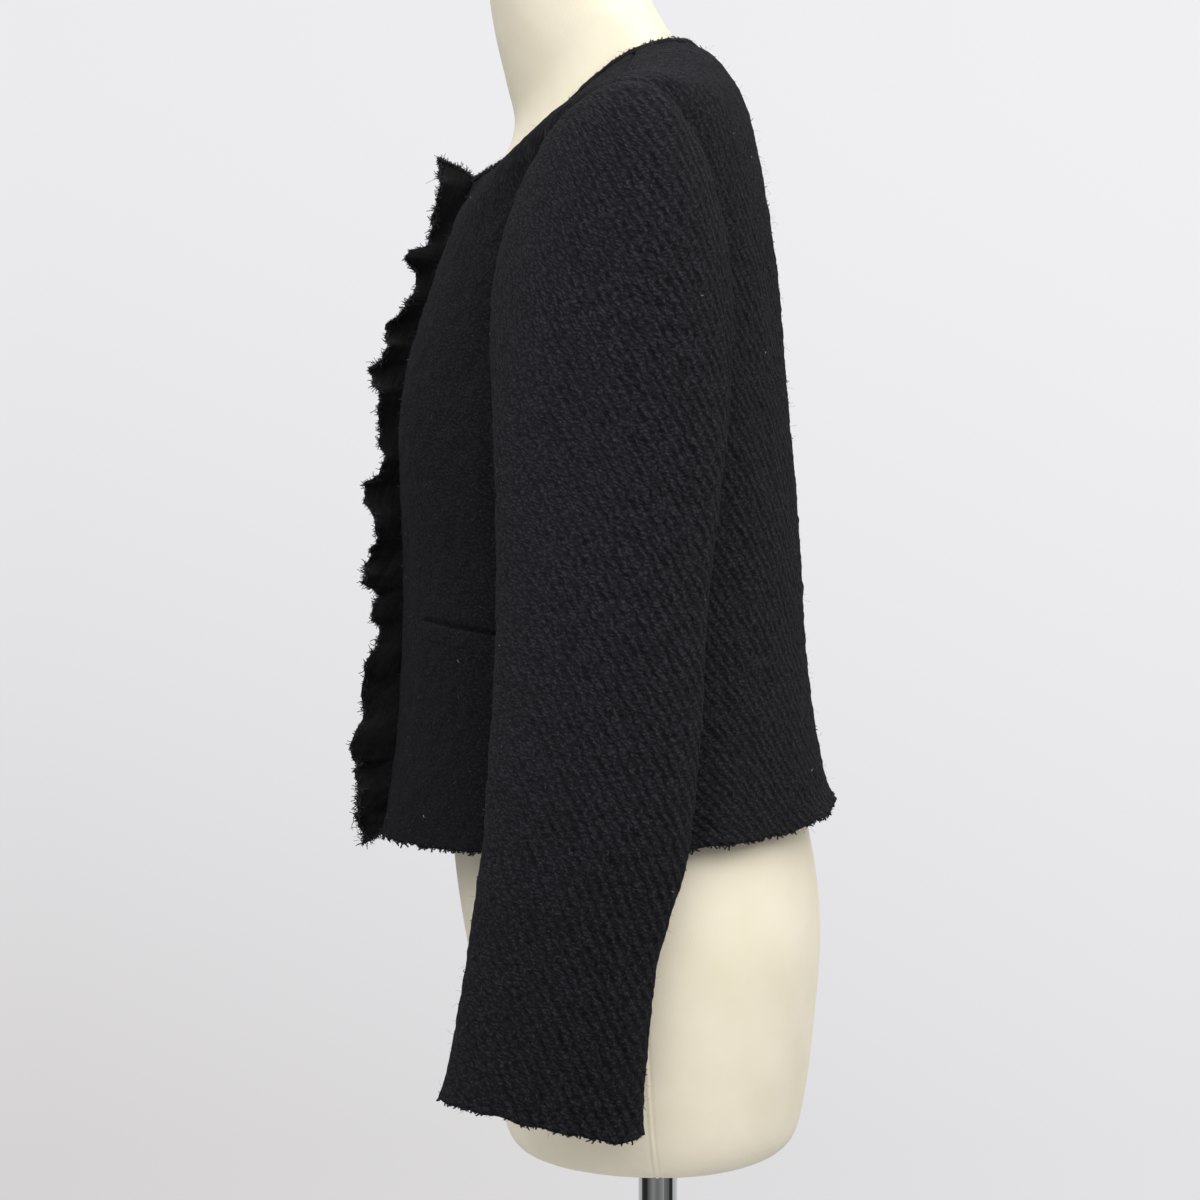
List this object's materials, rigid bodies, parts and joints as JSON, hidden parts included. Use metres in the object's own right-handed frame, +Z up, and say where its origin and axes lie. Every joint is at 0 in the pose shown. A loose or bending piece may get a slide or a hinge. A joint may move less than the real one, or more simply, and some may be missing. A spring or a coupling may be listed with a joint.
{
  "type": "cropped tweed jacket on a dress form",
  "caption": "Collarless cropped twill-tweed jacket with frayed front frills, raw hem and long set-in sleeves, worn by a limbless dress form on a round-based pole stand.",
  "frame": {"origin": "middle of the base plate's underside, on the floor, on the pole's axis", "axes": "+Z up, the jacket's front faces -Y, the wearer's left is +X"},
  "size_m": [0.493, 0.3598, 1.4116],
  "materials": {
    "tweed": "near-black nubby twill tweed, matt",
    "silk": "black raw-edged silk, gathered and frayed",
    "jersey": "cream stretch jersey cover, matt",
    "chrome": "polished chrome"
  },
  "bodies": {
    "root": {"front_left": "tweed", "front_right": "tweed", "back": "tweed", "sleeve_upper_left": "tweed", "sleeve_upper_right": "tweed", "sleeve_under_left": "tweed", "sleeve_under_right": "tweed", "neck_band": "tweed", "pocket_welt_left": "tweed", "pocket_welt_right": "tweed", "frill_left": "silk", "frill_right": "silk", "torso_form": "jersey", "pole": "chrome", "pole_socket": "chrome", "base_plate": "chrome"}
  },
  "joints": []
}
